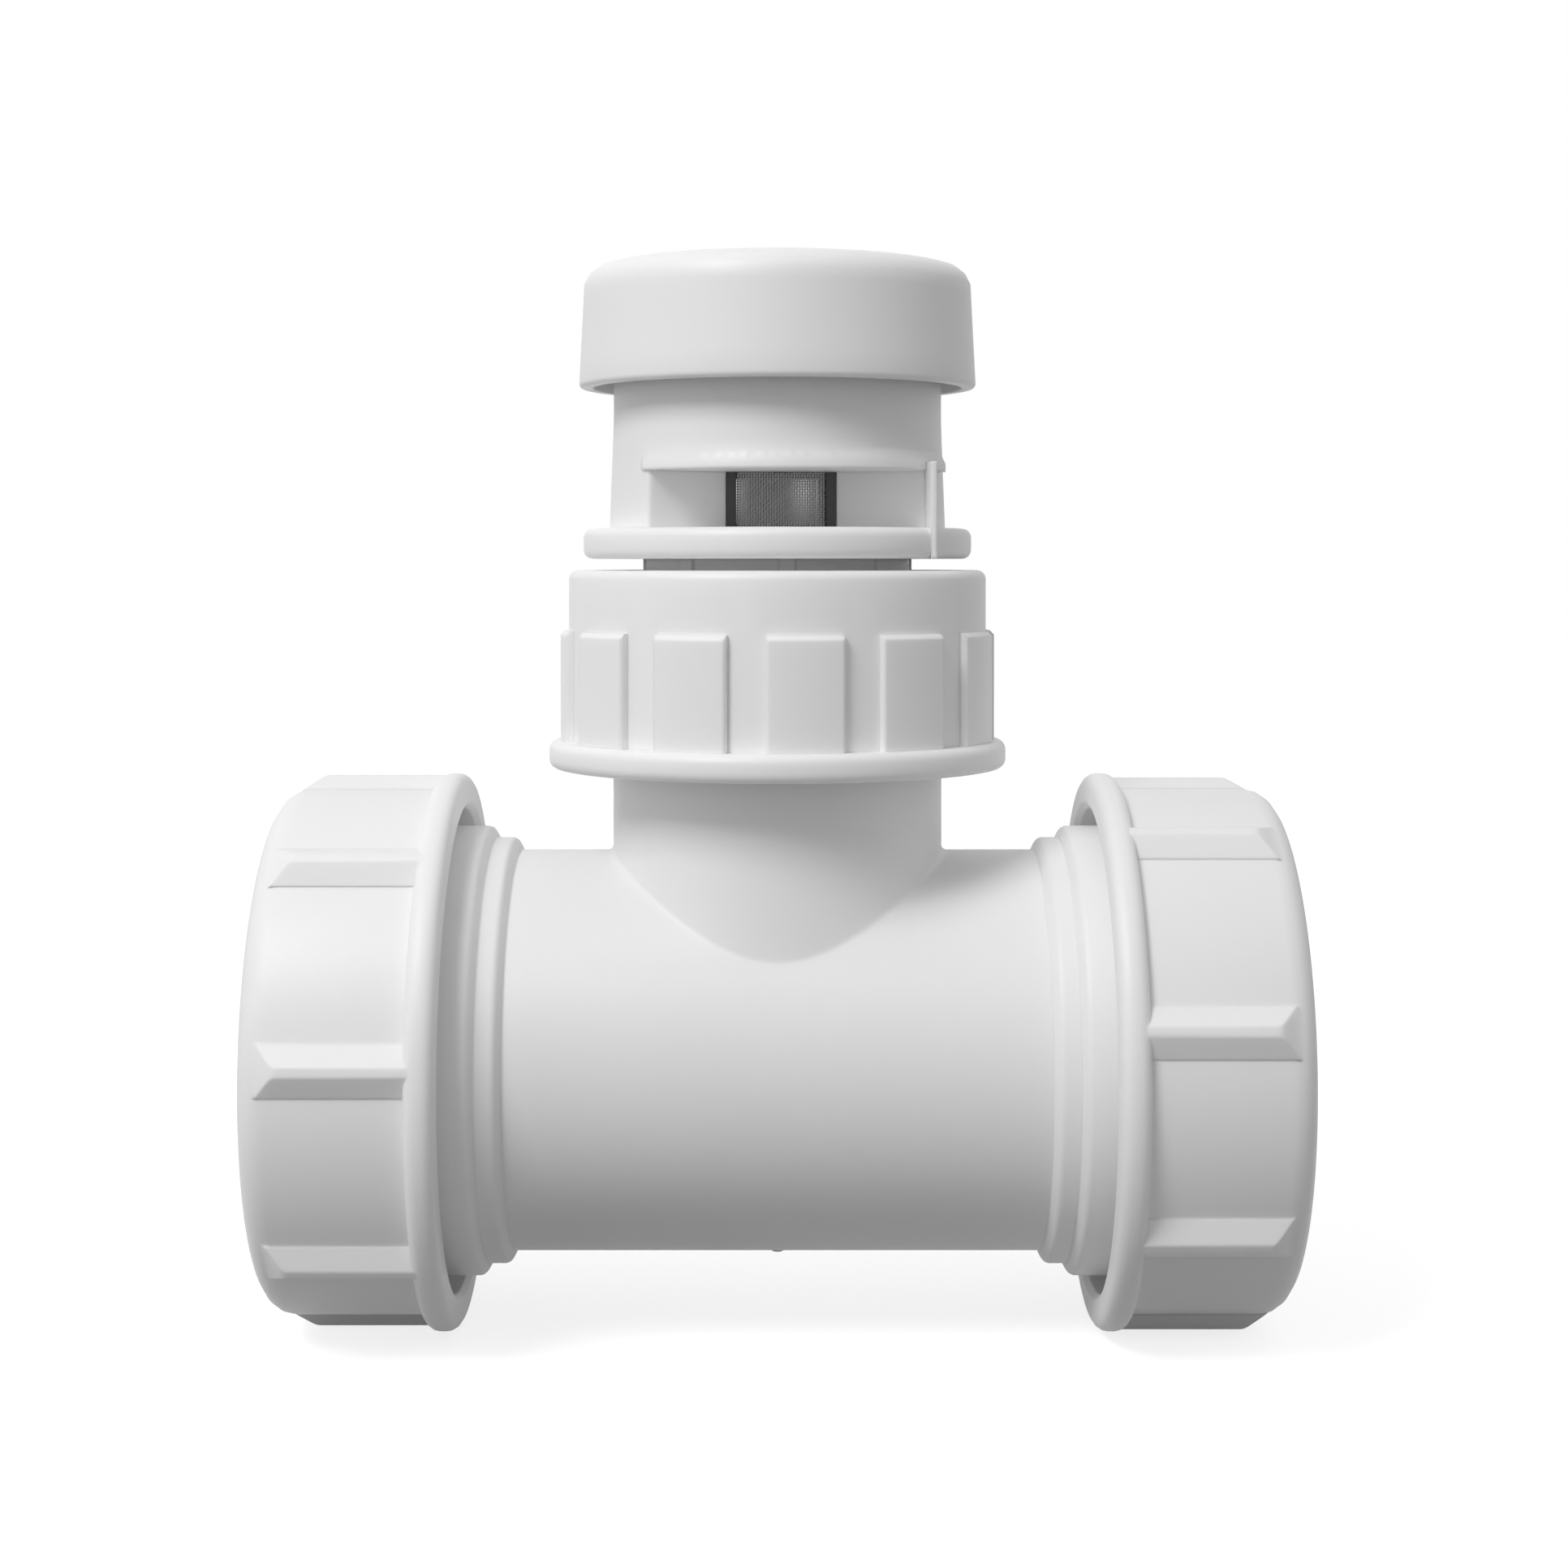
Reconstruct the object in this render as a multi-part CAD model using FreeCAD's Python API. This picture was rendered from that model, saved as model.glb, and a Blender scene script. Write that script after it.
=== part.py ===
import FreeCAD, Part
import math
import os

from FreeCAD import Vector

# Air admittance valve on a compression tee.
# Sizes are in millimetres. The origin is where the axis of the run crosses the axis of the branch.
# The run lies along X, the branch and its valve stand up along +Z, and the front looks along -Y.

# Run of the tee, which follows the pipe that goes into it
pipe_r = 21.5
pipe_clearance = 0.25
run_tube_over_pipe = 0.9
run_wall = 2.9
run_tube_half = 29.2
run_socket_wall = 3.35
run_socket_depth = 15.5
pipe_stop_x = 31.5
collar_step = 1.3
collar_1_end_x = 32.0
collar_slope = 0.7
mouth_taper_depth = 2.4
mouth_lip = 1.2

# Branch of the tee
branch_wall = 2.64
branch_step_z = 32.6
branch_socket_wall = 1.8
branch_stop_z = 35.5
branch_stop_width = 2.2
branch_socket_depth = 11.5
saddle_round = 0.8
saddle_margin = 0.5
branch_seam_deg = 45.0
gate_nub_r = 0.85
gate_nub_proud = 0.8

# Nuts on the run
run_thread_height = 1.75
branch_thread_height = 1.4
thread_clearance = 0.3
run_nut_inner_x = 35.3
run_nut_length = 20.9
run_nut_flange_proud = 1.8
run_nut_flange_length = 3.2
run_nut_wall = 2.15
run_nut_lip = 3.8
run_nut_end_round = 3.0
run_nut_flange_round = 1.25
run_nut_edge_bevel = 0.6
rib_count = 8
rib_proud = 1.6
rib_foot_half = 2.75
rib_crest_half = 0.5
rib_crest_round = 0.4
rib_root_depth = 3.6
rib_end_gap = 1.2
rib_end_sink = 0.8
rib_fade_length = 3.2
rib_fade_round = 1.5
rib_phase_left = 5.5
rib_phase_right = 13.2
nut_pipe_clearance = 0.7

# Nut on the branch
branch_nut_bottom_z = 32.03
branch_nut_height = 22.29
branch_nut_wall = 1.96
branch_nut_flange_proud = 2.22
branch_nut_flange_height = 3.1
branch_nut_lip = 2.2
branch_nut_round = 1.0
pad_count = 12
pad_width_deg = 20.0
pad_phase_deg = 7.2
pad_proud = 0.95
pad_height = 15.47
pad_bevel = 0.5

# Slip washers and rubber seals behind the nuts
washer_thickness = 1.2
washer_side_gap = 0.3
washer_edge_gap = 0.1
seal_gap = 0.1
seal_nose = 1.9
seal_pipe_clearance = 0.05

# Spigot of the valve
spigot_r = 17.9
spigot_clearance = 0.3
spigot_wall = 2.3
spigot_bottom_gap = 1.5
spigot_length = 16.6
waist_inset = 2.9
waist_wall = 1.6
waist_rib_count = 8
waist_rib_proud = 0.25
waist_rib_width = 1.8

# Valve body
valve_turn_deg = 4.0
valve_flange_proud = 2.95
waist_height = 2.0
valve_flange_height = 3.4
valve_flange_round = 1.0
body_foot_r = 19.05
body_neck_draw = 0.45
body_taper_height = 12.0
body_height = 25.5
body_wall = 1.6
floor_thickness = 1.6
window_height = 6.3
roof_thickness = 1.3
window_left_deg = -52.0
window_right_deg = 56.0
window_edge_round = 0.5
duct_wall = 1.2
hood_proud = 0.23
hood_shift = 0.28
hood_height = 0.9
hood_blend = 1.4
hood_left_deg = -56.0
hood_right_deg = 70.0
fin_x = 15.6
fin_thickness = 0.7
fin_proud = 0.12

# Inlet riser and seat
riser_r = 6.0
riser_wall = 1.2
riser_height = 10.2
seat_r = 9.4
seat_land = 1.4
seat_flare = 3.6

# Insect screen in the throat of the duct
screen_half = 6.2
screen_clearance = 0.05
screen_post = 1.1
screen_rail = 0.5
gauze_thickness = 0.4
gauze_wire = 0.3
gauze_columns = 13
gauze_rows = 2
gauze_inset = 0.3
gauze_clearance = 0.05

# Diaphragm and what carries it
diaphragm_overlap = 2.2
diaphragm_thickness = 1.2
diaphragm_bead = 0.4
diaphragm_hole_r = 2.6
carrier_r = 9.0
carrier_thickness = 1.5
carrier_hub_r = 3.6
carrier_hub_height = 0.8
carrier_rib_count = 6
carrier_rib_width = 0.9
carrier_rib_height = 0.8
carrier_rib_root = 0.4
stem_r = 2.4
stem_height = 5.2
stem_bevel = 0.6
plug_r = 2.3
guide_clearance = 0.1
lift = 3.5
wing_count = 4
wing_thickness = 1.0
wing_clearance = 0.2
wing_over_window = 1.2
wing_top_gap = 1.2
retainer_r = 4.6
retainer_thickness = 1.2

# Cap and its seal
cap_bottom_proud = 3.93
cap_bottom_below_rim = 9.6
cap_shoulder_proud = 3.4
cap_shoulder_over_rim = 0.9
cap_corner_proud = 0.7
cap_corner_over_rim = 4.25
cap_shoulder_bulge = 0.97
cap_top_over_rim = 5.6
cap_wall = 1.6
cap_edge_round = 0.5
snap_ring_wall = 0.9
snap_clearance = 0.15
bead_proud = 0.3
bead_below_rim = 3.6
bead_height = 1.2
barb_height = 1.2
barb_gap = 0.3
barb_clearance = 0.1
gasket_thickness = 1.0
guide_wall = 1.4
guide_gap = 0.3

# Steps in each rounded edge, and the length by which a cut passes the wall
round_step_count = 4
cut_overrun = 1.0

# Sizes that follow from those above
run_tube_r = pipe_r + run_tube_over_pipe
run_bore_r = run_tube_r - run_wall
socket_r = pipe_r + pipe_clearance
run_mouth_x = pipe_stop_x + run_socket_depth
collar_2_r = socket_r + run_socket_wall
collar_1_r = collar_2_r - collar_step
run_nut_outer_x = run_nut_inner_x + run_nut_length
run_nut_bore_r = collar_2_r + run_thread_height + thread_clearance
run_nut_panel_r = run_nut_bore_r + run_nut_wall
run_nut_flange_r = run_nut_panel_r + run_nut_flange_proud
nut_mouth_r = pipe_r + nut_pipe_clearance
branch_socket_r = spigot_r + spigot_clearance
branch_bore_r = branch_socket_r - branch_stop_width
branch_tube_r = branch_bore_r + branch_wall
branch_mouth_z = branch_stop_z + branch_socket_depth
branch_collar_r = branch_socket_r + branch_socket_wall
branch_nut_bore_r = branch_collar_r + branch_thread_height + thread_clearance
branch_nut_band_r = branch_nut_bore_r + branch_nut_wall
branch_nut_mouth_r = spigot_r + nut_pipe_clearance
branch_nut_top_z = branch_nut_bottom_z + branch_nut_height
pad_top_z = branch_nut_bottom_z + pad_height
spigot_bottom_z = branch_stop_z + spigot_bottom_gap
spigot_top_z = spigot_bottom_z + spigot_length
waist_r = spigot_r - waist_inset
waist_bore_r = waist_r - waist_wall
valve_flange_r = body_foot_r + valve_flange_proud
valve_flange_bottom_z = spigot_top_z + waist_height
valve_flange_top_z = valve_flange_bottom_z + valve_flange_height
body_neck_r = body_foot_r - body_neck_draw
body_taper_top_z = valve_flange_top_z + body_taper_height
body_rim_z = valve_flange_top_z + body_height
bead_bottom_z = body_rim_z - bead_below_rim
chamber_r = body_neck_r - body_wall
storey_bore_r = body_foot_r - body_wall
window_top_z = valve_flange_top_z + window_height
roof_top_z = window_top_z + roof_thickness
riser_outer_r = riser_r + riser_wall
seat_z = window_top_z + riser_height
seat_outer_r = seat_r + seat_land
wing_bottom_z = window_top_z + wing_over_window
diaphragm_r = seat_outer_r + diaphragm_overlap
diaphragm_top_z = seat_z + diaphragm_thickness
carrier_top_z = diaphragm_top_z + carrier_thickness
hub_top_z = carrier_top_z + carrier_hub_height
stem_top_z = hub_top_z + stem_height
gasket_top_z = body_rim_z + gasket_thickness
cap_bottom_z = body_rim_z - cap_bottom_below_rim
cap_bottom_r = body_neck_r + cap_bottom_proud
cap_shoulder_z = body_rim_z + cap_shoulder_over_rim
cap_shoulder_r = body_neck_r + cap_shoulder_proud
cap_corner_z = body_rim_z + cap_corner_over_rim
cap_corner_r = body_neck_r + cap_corner_proud
cap_top_z = body_rim_z + cap_top_over_rim
origin = Vector(0, 0, 0)
up = Vector(0, 0, 1)
along_run = Vector(1, 0, 0)
full_turn = 360.0
quarter_turn = full_turn / 4


# Shapes used by several pieces
def turned(outline, turn=full_turn):
    """Turn a closed outline of (radius, height) points round Z."""
    corners = [Vector(radius, 0, height) for radius, height in outline]
    face = Part.Face(Part.makePolygon(corners + corners[:1]))
    return face.revolve(origin, up, turn)


def swept(middle, start, end):
    """Points in even short steps along an arc round a middle, from one point to another."""
    first = start - middle
    last = end - middle
    angle = first.getAngle(last)
    points = []
    for step in range(round_step_count + 1):
        share = step / round_step_count
        from_first = first * math.sin((1 - share) * angle)
        from_last = last * math.sin(share * angle)
        point = middle + (from_first + from_last) * (1 / math.sin(angle))
        points.append((point.x, point.y))
    return points


def eased(outline, radius, *corners):
    """An outline with some of its corners rounded in short straight steps."""
    result = []
    for number, point in enumerate(outline):
        if point not in corners:
            result.append(point)
            continue
        here = Vector(*point, 0)
        back = (Vector(*outline[number - 1], 0) - here).normalize()
        ahead = (Vector(*outline[(number + 1) % len(outline)], 0) - here).normalize()
        half = back.getAngle(ahead) / 2
        reach = radius / math.tan(half)
        middle = here + (back + ahead).normalize() * (radius / math.sin(half))
        result += swept(middle, here + back * reach, here + ahead * reach)
    return result


def eased_drum(radius, bottom, top, round_size, *heights):
    """An upright cylinder with a rounded edge at one or both of its ends."""
    outline = [(0, bottom), (radius, bottom), (radius, top), (0, top)]
    return turned(eased(outline, round_size, *[(radius, height) for height in heights]))


def drum(radius, bottom, top):
    """A plain upright cylinder between two heights."""
    return Part.makeCylinder(radius, top - bottom, Vector(0, 0, bottom))


def tube(outer, inner, bottom, top):
    """A plain upright tube between two heights."""
    return drum(outer, bottom, top).cut(drum(inner, bottom, top))


def box_between(low, high):
    """A box given by two opposite corners."""
    size = [high[axis] - low[axis] for axis in range(3)]
    return Part.makeBox(*size, Vector(*low))


def prism(points, bottom, top):
    """A straight prism on a plan outline of (x, y) points."""
    corners = [Vector(x, y, bottom) for x, y in points]
    face = Part.Face(Part.makePolygon(corners + corners[:1]))
    return face.extrude(Vector(0, 0, top - bottom))


def round_pattern(shape, count, phase=0.0):
    """Copies of a shape at even angles round Z, the first one turned by the phase."""
    copies = []
    for number in range(count):
        copy = shape.copy()
        copy.rotate(origin, up, phase + number * full_turn / count)
        copies.append(copy)
    return copies


def joined(shapes):
    """Fuse shapes and drop the seams that the joins leave on a shared surface."""
    return shapes[0].multiFuse(shapes[1:]).removeSplitter()


def on_plan(radius, degrees):
    """Plan point at an angle from the front, positive towards +X."""
    angle = math.radians(degrees)
    return radius * math.sin(angle), -radius * math.cos(angle)


def at_run_end(shape, side):
    """Lay a piece that was built along +Z on the run, pointing to +X (side 1) or -X (side -1)."""
    laid = shape.copy()
    laid.rotate(origin, Vector(0, 1, 0), side * quarter_turn)
    return laid


# Tee
def run_outside():
    """One half of the run outside, from the centre to its mouth: tube and two collars."""
    collar_1_edge = (collar_1_r, run_tube_half + collar_slope)
    collar_2_edge = (collar_2_r, collar_1_end_x + collar_slope)
    outline = [
        (0, 0),
        (run_tube_r, 0),
        (run_tube_r, run_tube_half),
        collar_1_edge,
        (collar_1_r, collar_1_end_x),
        collar_2_edge,
        (collar_2_r, run_mouth_x),
        (0, run_mouth_x),
    ]
    return turned(eased(outline, collar_slope, collar_1_edge, collar_2_edge))


def run_inside():
    """One half of the bore of the run: waterway, pipe socket with its stop, and the tapered mouth."""
    return turned([
        (0, 0),
        (run_bore_r, 0),
        (run_bore_r, pipe_stop_x),
        (socket_r, pipe_stop_x),
        (socket_r, run_mouth_x - mouth_taper_depth),
        (collar_2_r - mouth_lip, run_mouth_x),
        (0, run_mouth_x),
    ])


def branch_outside():
    """Outside of the branch: tube, and the wider socket that the nut covers."""
    return turned([
        (0, 0),
        (branch_tube_r, 0),
        (branch_tube_r, branch_step_z),
        (branch_collar_r, branch_step_z + collar_slope),
        (branch_collar_r, branch_mouth_z),
        (0, branch_mouth_z),
    ])


def branch_inside():
    """Bore of the branch: waterway, spigot socket with its stop, and the tapered mouth."""
    branch_lip = branch_socket_wall / 2
    return turned([
        (0, 0),
        (branch_bore_r, 0),
        (branch_bore_r, branch_stop_z),
        (branch_socket_r, branch_stop_z),
        (branch_socket_r, branch_mouth_z - mouth_taper_depth),
        (branch_collar_r - branch_lip, branch_mouth_z),
        (0, branch_mouth_z),
    ])


def saddle_edges(shape):
    """The edges where the branch tube meets the run tube."""
    found = []
    for edge in shape.Edges:
        if edge.Degenerated:
            continue
        box = edge.BoundBox
        inside = max(abs(box.XMin), abs(box.XMax)) < branch_tube_r + saddle_margin
        curved = not isinstance(edge.Curve, (Part.Circle, Part.Line))
        if inside and curved and box.ZMax < run_tube_r + saddle_margin:
            found.append(edge)
    return found


def tee_body():
    """The moulded tee: run, branch, three sockets and the gate mark under the run."""
    right_half = at_run_end(run_outside(), 1)
    branch = branch_outside()
    branch.rotate(origin, up, branch_seam_deg)
    outside = joined([right_half, right_half.mirror(origin, along_run), branch])
    outside = outside.makeFillet(saddle_round, saddle_edges(outside))
    bores = [at_run_end(run_inside(), 1), at_run_end(run_inside(), -1), branch_inside()]
    nub_bottom = -run_tube_r - gate_nub_proud
    nub = eased_drum(gate_nub_r, nub_bottom, -run_tube_r + run_wall / 2, gate_nub_r / 2, nub_bottom)
    return outside.fuse(nub).cut(bores)


# Seals and slip washers
def seal(bore_r, hole_r, lip_r, outer_r, mouth, back):
    """A tapered rubber ring: its nose lies in the tapered mouth, and its back faces the washer."""
    inner = bore_r + seal_pipe_clearance
    nose_r = hole_r + (lip_r - hole_r) * (1 - seal_nose / mouth_taper_depth)
    return turned([
        (inner, mouth - seal_nose),
        (nose_r - seal_gap, mouth - seal_nose),
        (lip_r - seal_gap, mouth),
        (outer_r, mouth + seal_gap),
        (outer_r, back),
        (inner, back),
    ])


def run_seal_back():
    """Height of the back of a run seal along its own axis."""
    return run_nut_outer_x - run_nut_lip - 2 * washer_side_gap - washer_thickness


def run_seal(side):
    """Rubber seal that grips the pipe in one end of the run."""
    ring = seal(socket_r, socket_r, collar_2_r - mouth_lip, collar_2_r, run_mouth_x, run_seal_back())
    return at_run_end(ring, side)


def run_slip_washer(side):
    """Thin ring that lets the nut turn without dragging the seal round."""
    bottom = run_seal_back() + washer_side_gap
    ring = tube(collar_2_r + washer_edge_gap, nut_mouth_r, bottom, bottom + washer_thickness)
    return at_run_end(ring, side)


def branch_seal_back():
    """Height of the back of the branch seal."""
    return branch_nut_top_z - branch_nut_lip - 2 * washer_side_gap - washer_thickness


def branch_seal():
    """Rubber seal round the spigot of the valve."""
    lip_r = branch_collar_r - branch_socket_wall / 2
    inner_r = spigot_r + seal_gap
    return seal(inner_r, branch_socket_r, lip_r, branch_collar_r, branch_mouth_z, branch_seal_back())


def branch_slip_washer():
    """Thin ring between the branch seal and the shoulder of the branch nut."""
    bottom = branch_seal_back() + washer_side_gap
    outer_r = branch_collar_r + washer_edge_gap
    return tube(outer_r, spigot_r + nut_pipe_clearance / 2, bottom, bottom + washer_thickness)


# Nuts
def run_nut_rib():
    """One lengthwise ridge of a run nut, at the front, which fades into the round end of the nut."""
    crest_r = run_nut_panel_r + rib_proud
    points = [
        (-rib_foot_half, -run_nut_panel_r + rib_root_depth),
        (-rib_foot_half, -run_nut_panel_r),
        (-rib_crest_half, -crest_r),
        (rib_crest_half, -crest_r),
        (rib_foot_half, -run_nut_panel_r),
        (rib_foot_half, -run_nut_panel_r + rib_root_depth),
    ]
    ridge = prism(points, run_nut_inner_x + run_nut_flange_round, run_nut_outer_x)
    crest_edges = []
    for edge in ridge.Edges:
        box = edge.BoundBox
        if box.YMax < -crest_r + rib_crest_round / 2 and box.XLength < rib_crest_round:
            crest_edges.append(edge)
    fade_end = run_nut_outer_x - rib_end_gap
    fade_start = (crest_r, fade_end - rib_fade_length)
    outline = [
        (0, run_nut_inner_x),
        (crest_r, run_nut_inner_x),
        fade_start,
        (run_nut_panel_r - rib_end_sink, fade_end),
        (0, fade_end),
    ]
    envelope = turned(eased(outline, rib_fade_round, fade_start))
    return ridge.makeFillet(rib_crest_round, crest_edges).common(envelope)


def run_nut(side, phase):
    """Nut of one end of the run: rounded flange, ridged barrel, and a lip that holds the washer."""
    flange_top = run_nut_inner_x + run_nut_flange_length
    shoulder_x = run_nut_outer_x - run_nut_lip
    flange = eased_drum(
        run_nut_flange_r,
        run_nut_inner_x,
        flange_top,
        run_nut_flange_round,
        run_nut_inner_x,
        flange_top,
    )
    barrel_inner_x = run_nut_inner_x + run_nut_flange_round
    barrel = eased_drum(run_nut_panel_r, barrel_inner_x, run_nut_outer_x, run_nut_end_round, run_nut_outer_x)
    ribs = round_pattern(run_nut_rib(), rib_count)
    inside = turned([
        (0, run_nut_inner_x),
        (run_nut_bore_r + run_nut_edge_bevel, run_nut_inner_x),
        (run_nut_bore_r, run_nut_inner_x + run_nut_edge_bevel),
        (run_nut_bore_r, shoulder_x),
        (nut_mouth_r, shoulder_x),
        (nut_mouth_r, run_nut_outer_x - run_nut_edge_bevel),
        (nut_mouth_r + run_nut_edge_bevel, run_nut_outer_x),
        (0, run_nut_outer_x),
    ])
    nut = joined([flange, barrel] + ribs).cut(inside)
    laid = at_run_end(nut, side)
    laid.rotate(origin, along_run, -phase)
    return laid


def branch_nut():
    """Nut of the branch: flange below, twelve grip pads with bevelled edges, and a plain band above."""
    flange_r = branch_nut_band_r + branch_nut_flange_proud
    flange_top = branch_nut_bottom_z + branch_nut_flange_height
    shoulder_z = branch_nut_top_z - branch_nut_lip
    flange = eased_drum(
        flange_r,
        branch_nut_bottom_z,
        flange_top,
        branch_nut_round,
        branch_nut_bottom_z,
        flange_top,
    )
    band = eased_drum(
        branch_nut_band_r,
        branch_nut_bottom_z,
        branch_nut_top_z,
        branch_nut_round,
        branch_nut_top_z,
    )
    pad_r = branch_nut_band_r + pad_proud
    pad_inner = branch_nut_band_r - branch_nut_wall / 2
    outline = [
        (pad_inner, flange_top - branch_nut_round),
        (pad_r, flange_top - branch_nut_round),
        (pad_r, pad_top_z - pad_bevel),
        (pad_r - pad_bevel, pad_top_z),
        (pad_inner, pad_top_z),
    ]
    pad = turned(outline, pad_width_deg)
    outer = []
    for edge in pad.Edges:
        upright = edge.BoundBox.ZLength > pad_top_z - flange_top - pad_bevel
        if upright and math.hypot(edge.CenterOfMass.x, edge.CenterOfMass.y) > pad_r - pad_bevel:
            outer.append(edge)
    pad = pad.makeChamfer(pad_bevel / 2, outer)
    pad.rotate(origin, up, -quarter_turn - pad_width_deg / 2)
    inside = turned([
        (0, branch_nut_bottom_z),
        (branch_nut_bore_r, branch_nut_bottom_z),
        (branch_nut_bore_r, shoulder_z),
        (branch_nut_mouth_r, shoulder_z),
        (branch_nut_mouth_r, branch_nut_top_z),
        (0, branch_nut_top_z),
    ])
    return joined([flange, band] + round_pattern(pad, pad_count, pad_phase_deg)).cut(inside)


# Valve body
def duct_plan(margin):
    """Plan of the air duct as a face: wide at both windows, narrow at the screen, grown by a margin."""
    reach = valve_flange_r + fin_proud + cut_overrun
    left_x, left_y = on_plan(body_foot_r, window_left_deg)
    right_y = on_plan(body_foot_r, window_right_deg)[1]
    half = screen_half
    front = [
        (left_x, -reach),
        (left_x, left_y),
        (-half, -half),
        (-half, half),
        (-fin_x, -right_y),
        (-fin_x, reach),
    ]
    points = front + [(-x, -y) for x, y in front]
    corners = [Vector(x, y, 0) for x, y in points]
    face = Part.Face(Part.makePolygon(corners + corners[:1]))
    if margin:
        face = face.makeOffset2D(margin, join=2)
    return face


def duct_prism(margin, bottom, top):
    """The plan of the duct, grown by a margin, as a solid between two heights."""
    face = duct_plan(margin)
    face.translate(Vector(0, 0, bottom))
    return face.extrude(Vector(0, 0, top - bottom))


def valve_shell():
    """The valve body turned as one hollow: spigot, waist, flange, tapered neck and rim."""
    flange_edges = [(valve_flange_r, valve_flange_bottom_z), (valve_flange_r, valve_flange_top_z)]
    outline = [
        (0, spigot_bottom_z),
        (spigot_r, spigot_bottom_z),
        (spigot_r, spigot_top_z),
        (waist_r, spigot_top_z),
        (waist_r, valve_flange_bottom_z),
        *flange_edges,
        (body_foot_r, valve_flange_top_z),
        (body_neck_r, body_taper_top_z),
        (body_neck_r, bead_bottom_z),
        (body_neck_r + bead_proud, bead_bottom_z + bead_proud),
        (body_neck_r + bead_proud, bead_bottom_z + bead_height - bead_proud),
        (body_neck_r, bead_bottom_z + bead_height),
        (body_neck_r, body_rim_z),
        (0, body_rim_z),
    ]
    outside = turned(eased(outline, valve_flange_round, *flange_edges))
    spigot_bore_r = spigot_r - spigot_wall
    shoulder_bottom = spigot_top_z - spigot_wall
    inside = turned([
        (0, spigot_bottom_z),
        (spigot_bore_r, spigot_bottom_z),
        (spigot_bore_r, shoulder_bottom - (spigot_bore_r - waist_bore_r)),
        (waist_bore_r, shoulder_bottom),
        (waist_bore_r, valve_flange_bottom_z - waist_wall / 2),
        (storey_bore_r, valve_flange_top_z),
        (chamber_r, body_taper_top_z),
        (chamber_r, body_rim_z),
        (0, body_rim_z),
    ])
    return outside, inside


def waist_ribs():
    """Shallow upright ribs round the waist between the spigot and the flange."""
    rib = box_between(
        (-waist_rib_width / 2, -waist_r - waist_rib_proud, spigot_top_z - waist_wall / 2),
        (waist_rib_width / 2, -waist_r + waist_wall / 2, valve_flange_bottom_z + waist_wall / 2),
    )
    return round_pattern(rib, waist_rib_count)


def duct_block():
    """The moulded duct: floor, two waisted side walls and roof, with the side channels left open."""
    floor_bottom = valve_flange_top_z - floor_thickness
    within = drum(storey_bore_r + body_wall / 2, floor_bottom, roof_top_z)
    return duct_prism(duct_wall, floor_bottom, roof_top_z).common(within)


def riser_outside():
    """Outside of the inlet riser with the flared head that carries the seat."""
    return turned([
        (0, window_top_z),
        (riser_outer_r, window_top_z),
        (riser_outer_r, seat_z - seat_flare - riser_wall),
        (seat_outer_r, seat_z - riser_wall / 2),
        (seat_outer_r, seat_z),
        (0, seat_z),
    ])


def riser_inside():
    """The air way through the riser, opening out to the seat."""
    return turned([
        (0, window_top_z - roof_thickness),
        (riser_r, window_top_z - roof_thickness),
        (riser_r, seat_z - seat_flare),
        (seat_r, seat_z),
        (0, seat_z),
    ])


def hood():
    """The lip over one window. It slopes into the neck and, set off centre, runs out at its left end."""
    span = hood_right_deg - hood_left_deg
    inner = body_foot_r - body_wall / 2
    outer = body_foot_r + hood_proud
    blend_top = window_top_z + hood_height + hood_blend
    outline = [
        (inner, window_top_z),
        (outer, window_top_z),
        (outer, window_top_z + hood_height),
        (body_neck_r, blend_top),
        (inner, blend_top),
    ]
    lip = turned(outline, span)
    lip.rotate(origin, up, hood_left_deg - quarter_turn)
    lip.translate(Vector(hood_shift, 0, 0))
    return lip


def fin():
    """The thin upright plate beside one window, from the flange up to the lip."""
    front_y = -math.sqrt((valve_flange_r + fin_proud) ** 2 - fin_x ** 2)
    back_y = -math.sqrt((body_foot_r - body_wall / 2) ** 2 - fin_x ** 2)
    return box_between(
        (fin_x, front_y, valve_flange_bottom_z),
        (fin_x + fin_thickness, back_y, window_top_z + hood_height),
    )


def both_windows(shape):
    """A feature of the front window and its copy at the back window."""
    return round_pattern(shape, 2)


def window_edges(shape):
    """The upright outer edges at the left of both windows."""
    edge_x, edge_y = on_plan(body_foot_r, window_left_deg)
    found = []
    for edge in shape.Edges:
        if edge.Degenerated:
            continue
        box = edge.BoundBox
        upright = box.ZLength > (window_top_z - valve_flange_top_z) / 2
        near_x = abs(abs(edge.CenterOfMass.x) - abs(edge_x)) < window_edge_round
        near_y = abs(abs(edge.CenterOfMass.y) - abs(edge_y)) < window_edge_round
        same_side = edge.CenterOfMass.x * edge.CenterOfMass.y > 0
        if upright and near_x and near_y and same_side:
            found.append(edge)
    return found


def valve_body():
    """The moulded valve body, from the spigot to the rim, with the duct across it and the seat inside."""
    outside, inside = valve_shell()
    trims = waist_ribs() + both_windows(hood()) + both_windows(fin())
    shell = outside.multiFuse(trims).cut(inside)
    air_way = duct_prism(0, valve_flange_top_z, window_top_z)
    body = shell.multiFuse([duct_block(), riser_outside()])
    body = body.cut([air_way, riser_inside()]).removeSplitter()
    body = body.makeFillet(window_edge_round, window_edges(body))
    body.rotate(origin, up, valve_turn_deg)
    return body


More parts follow.
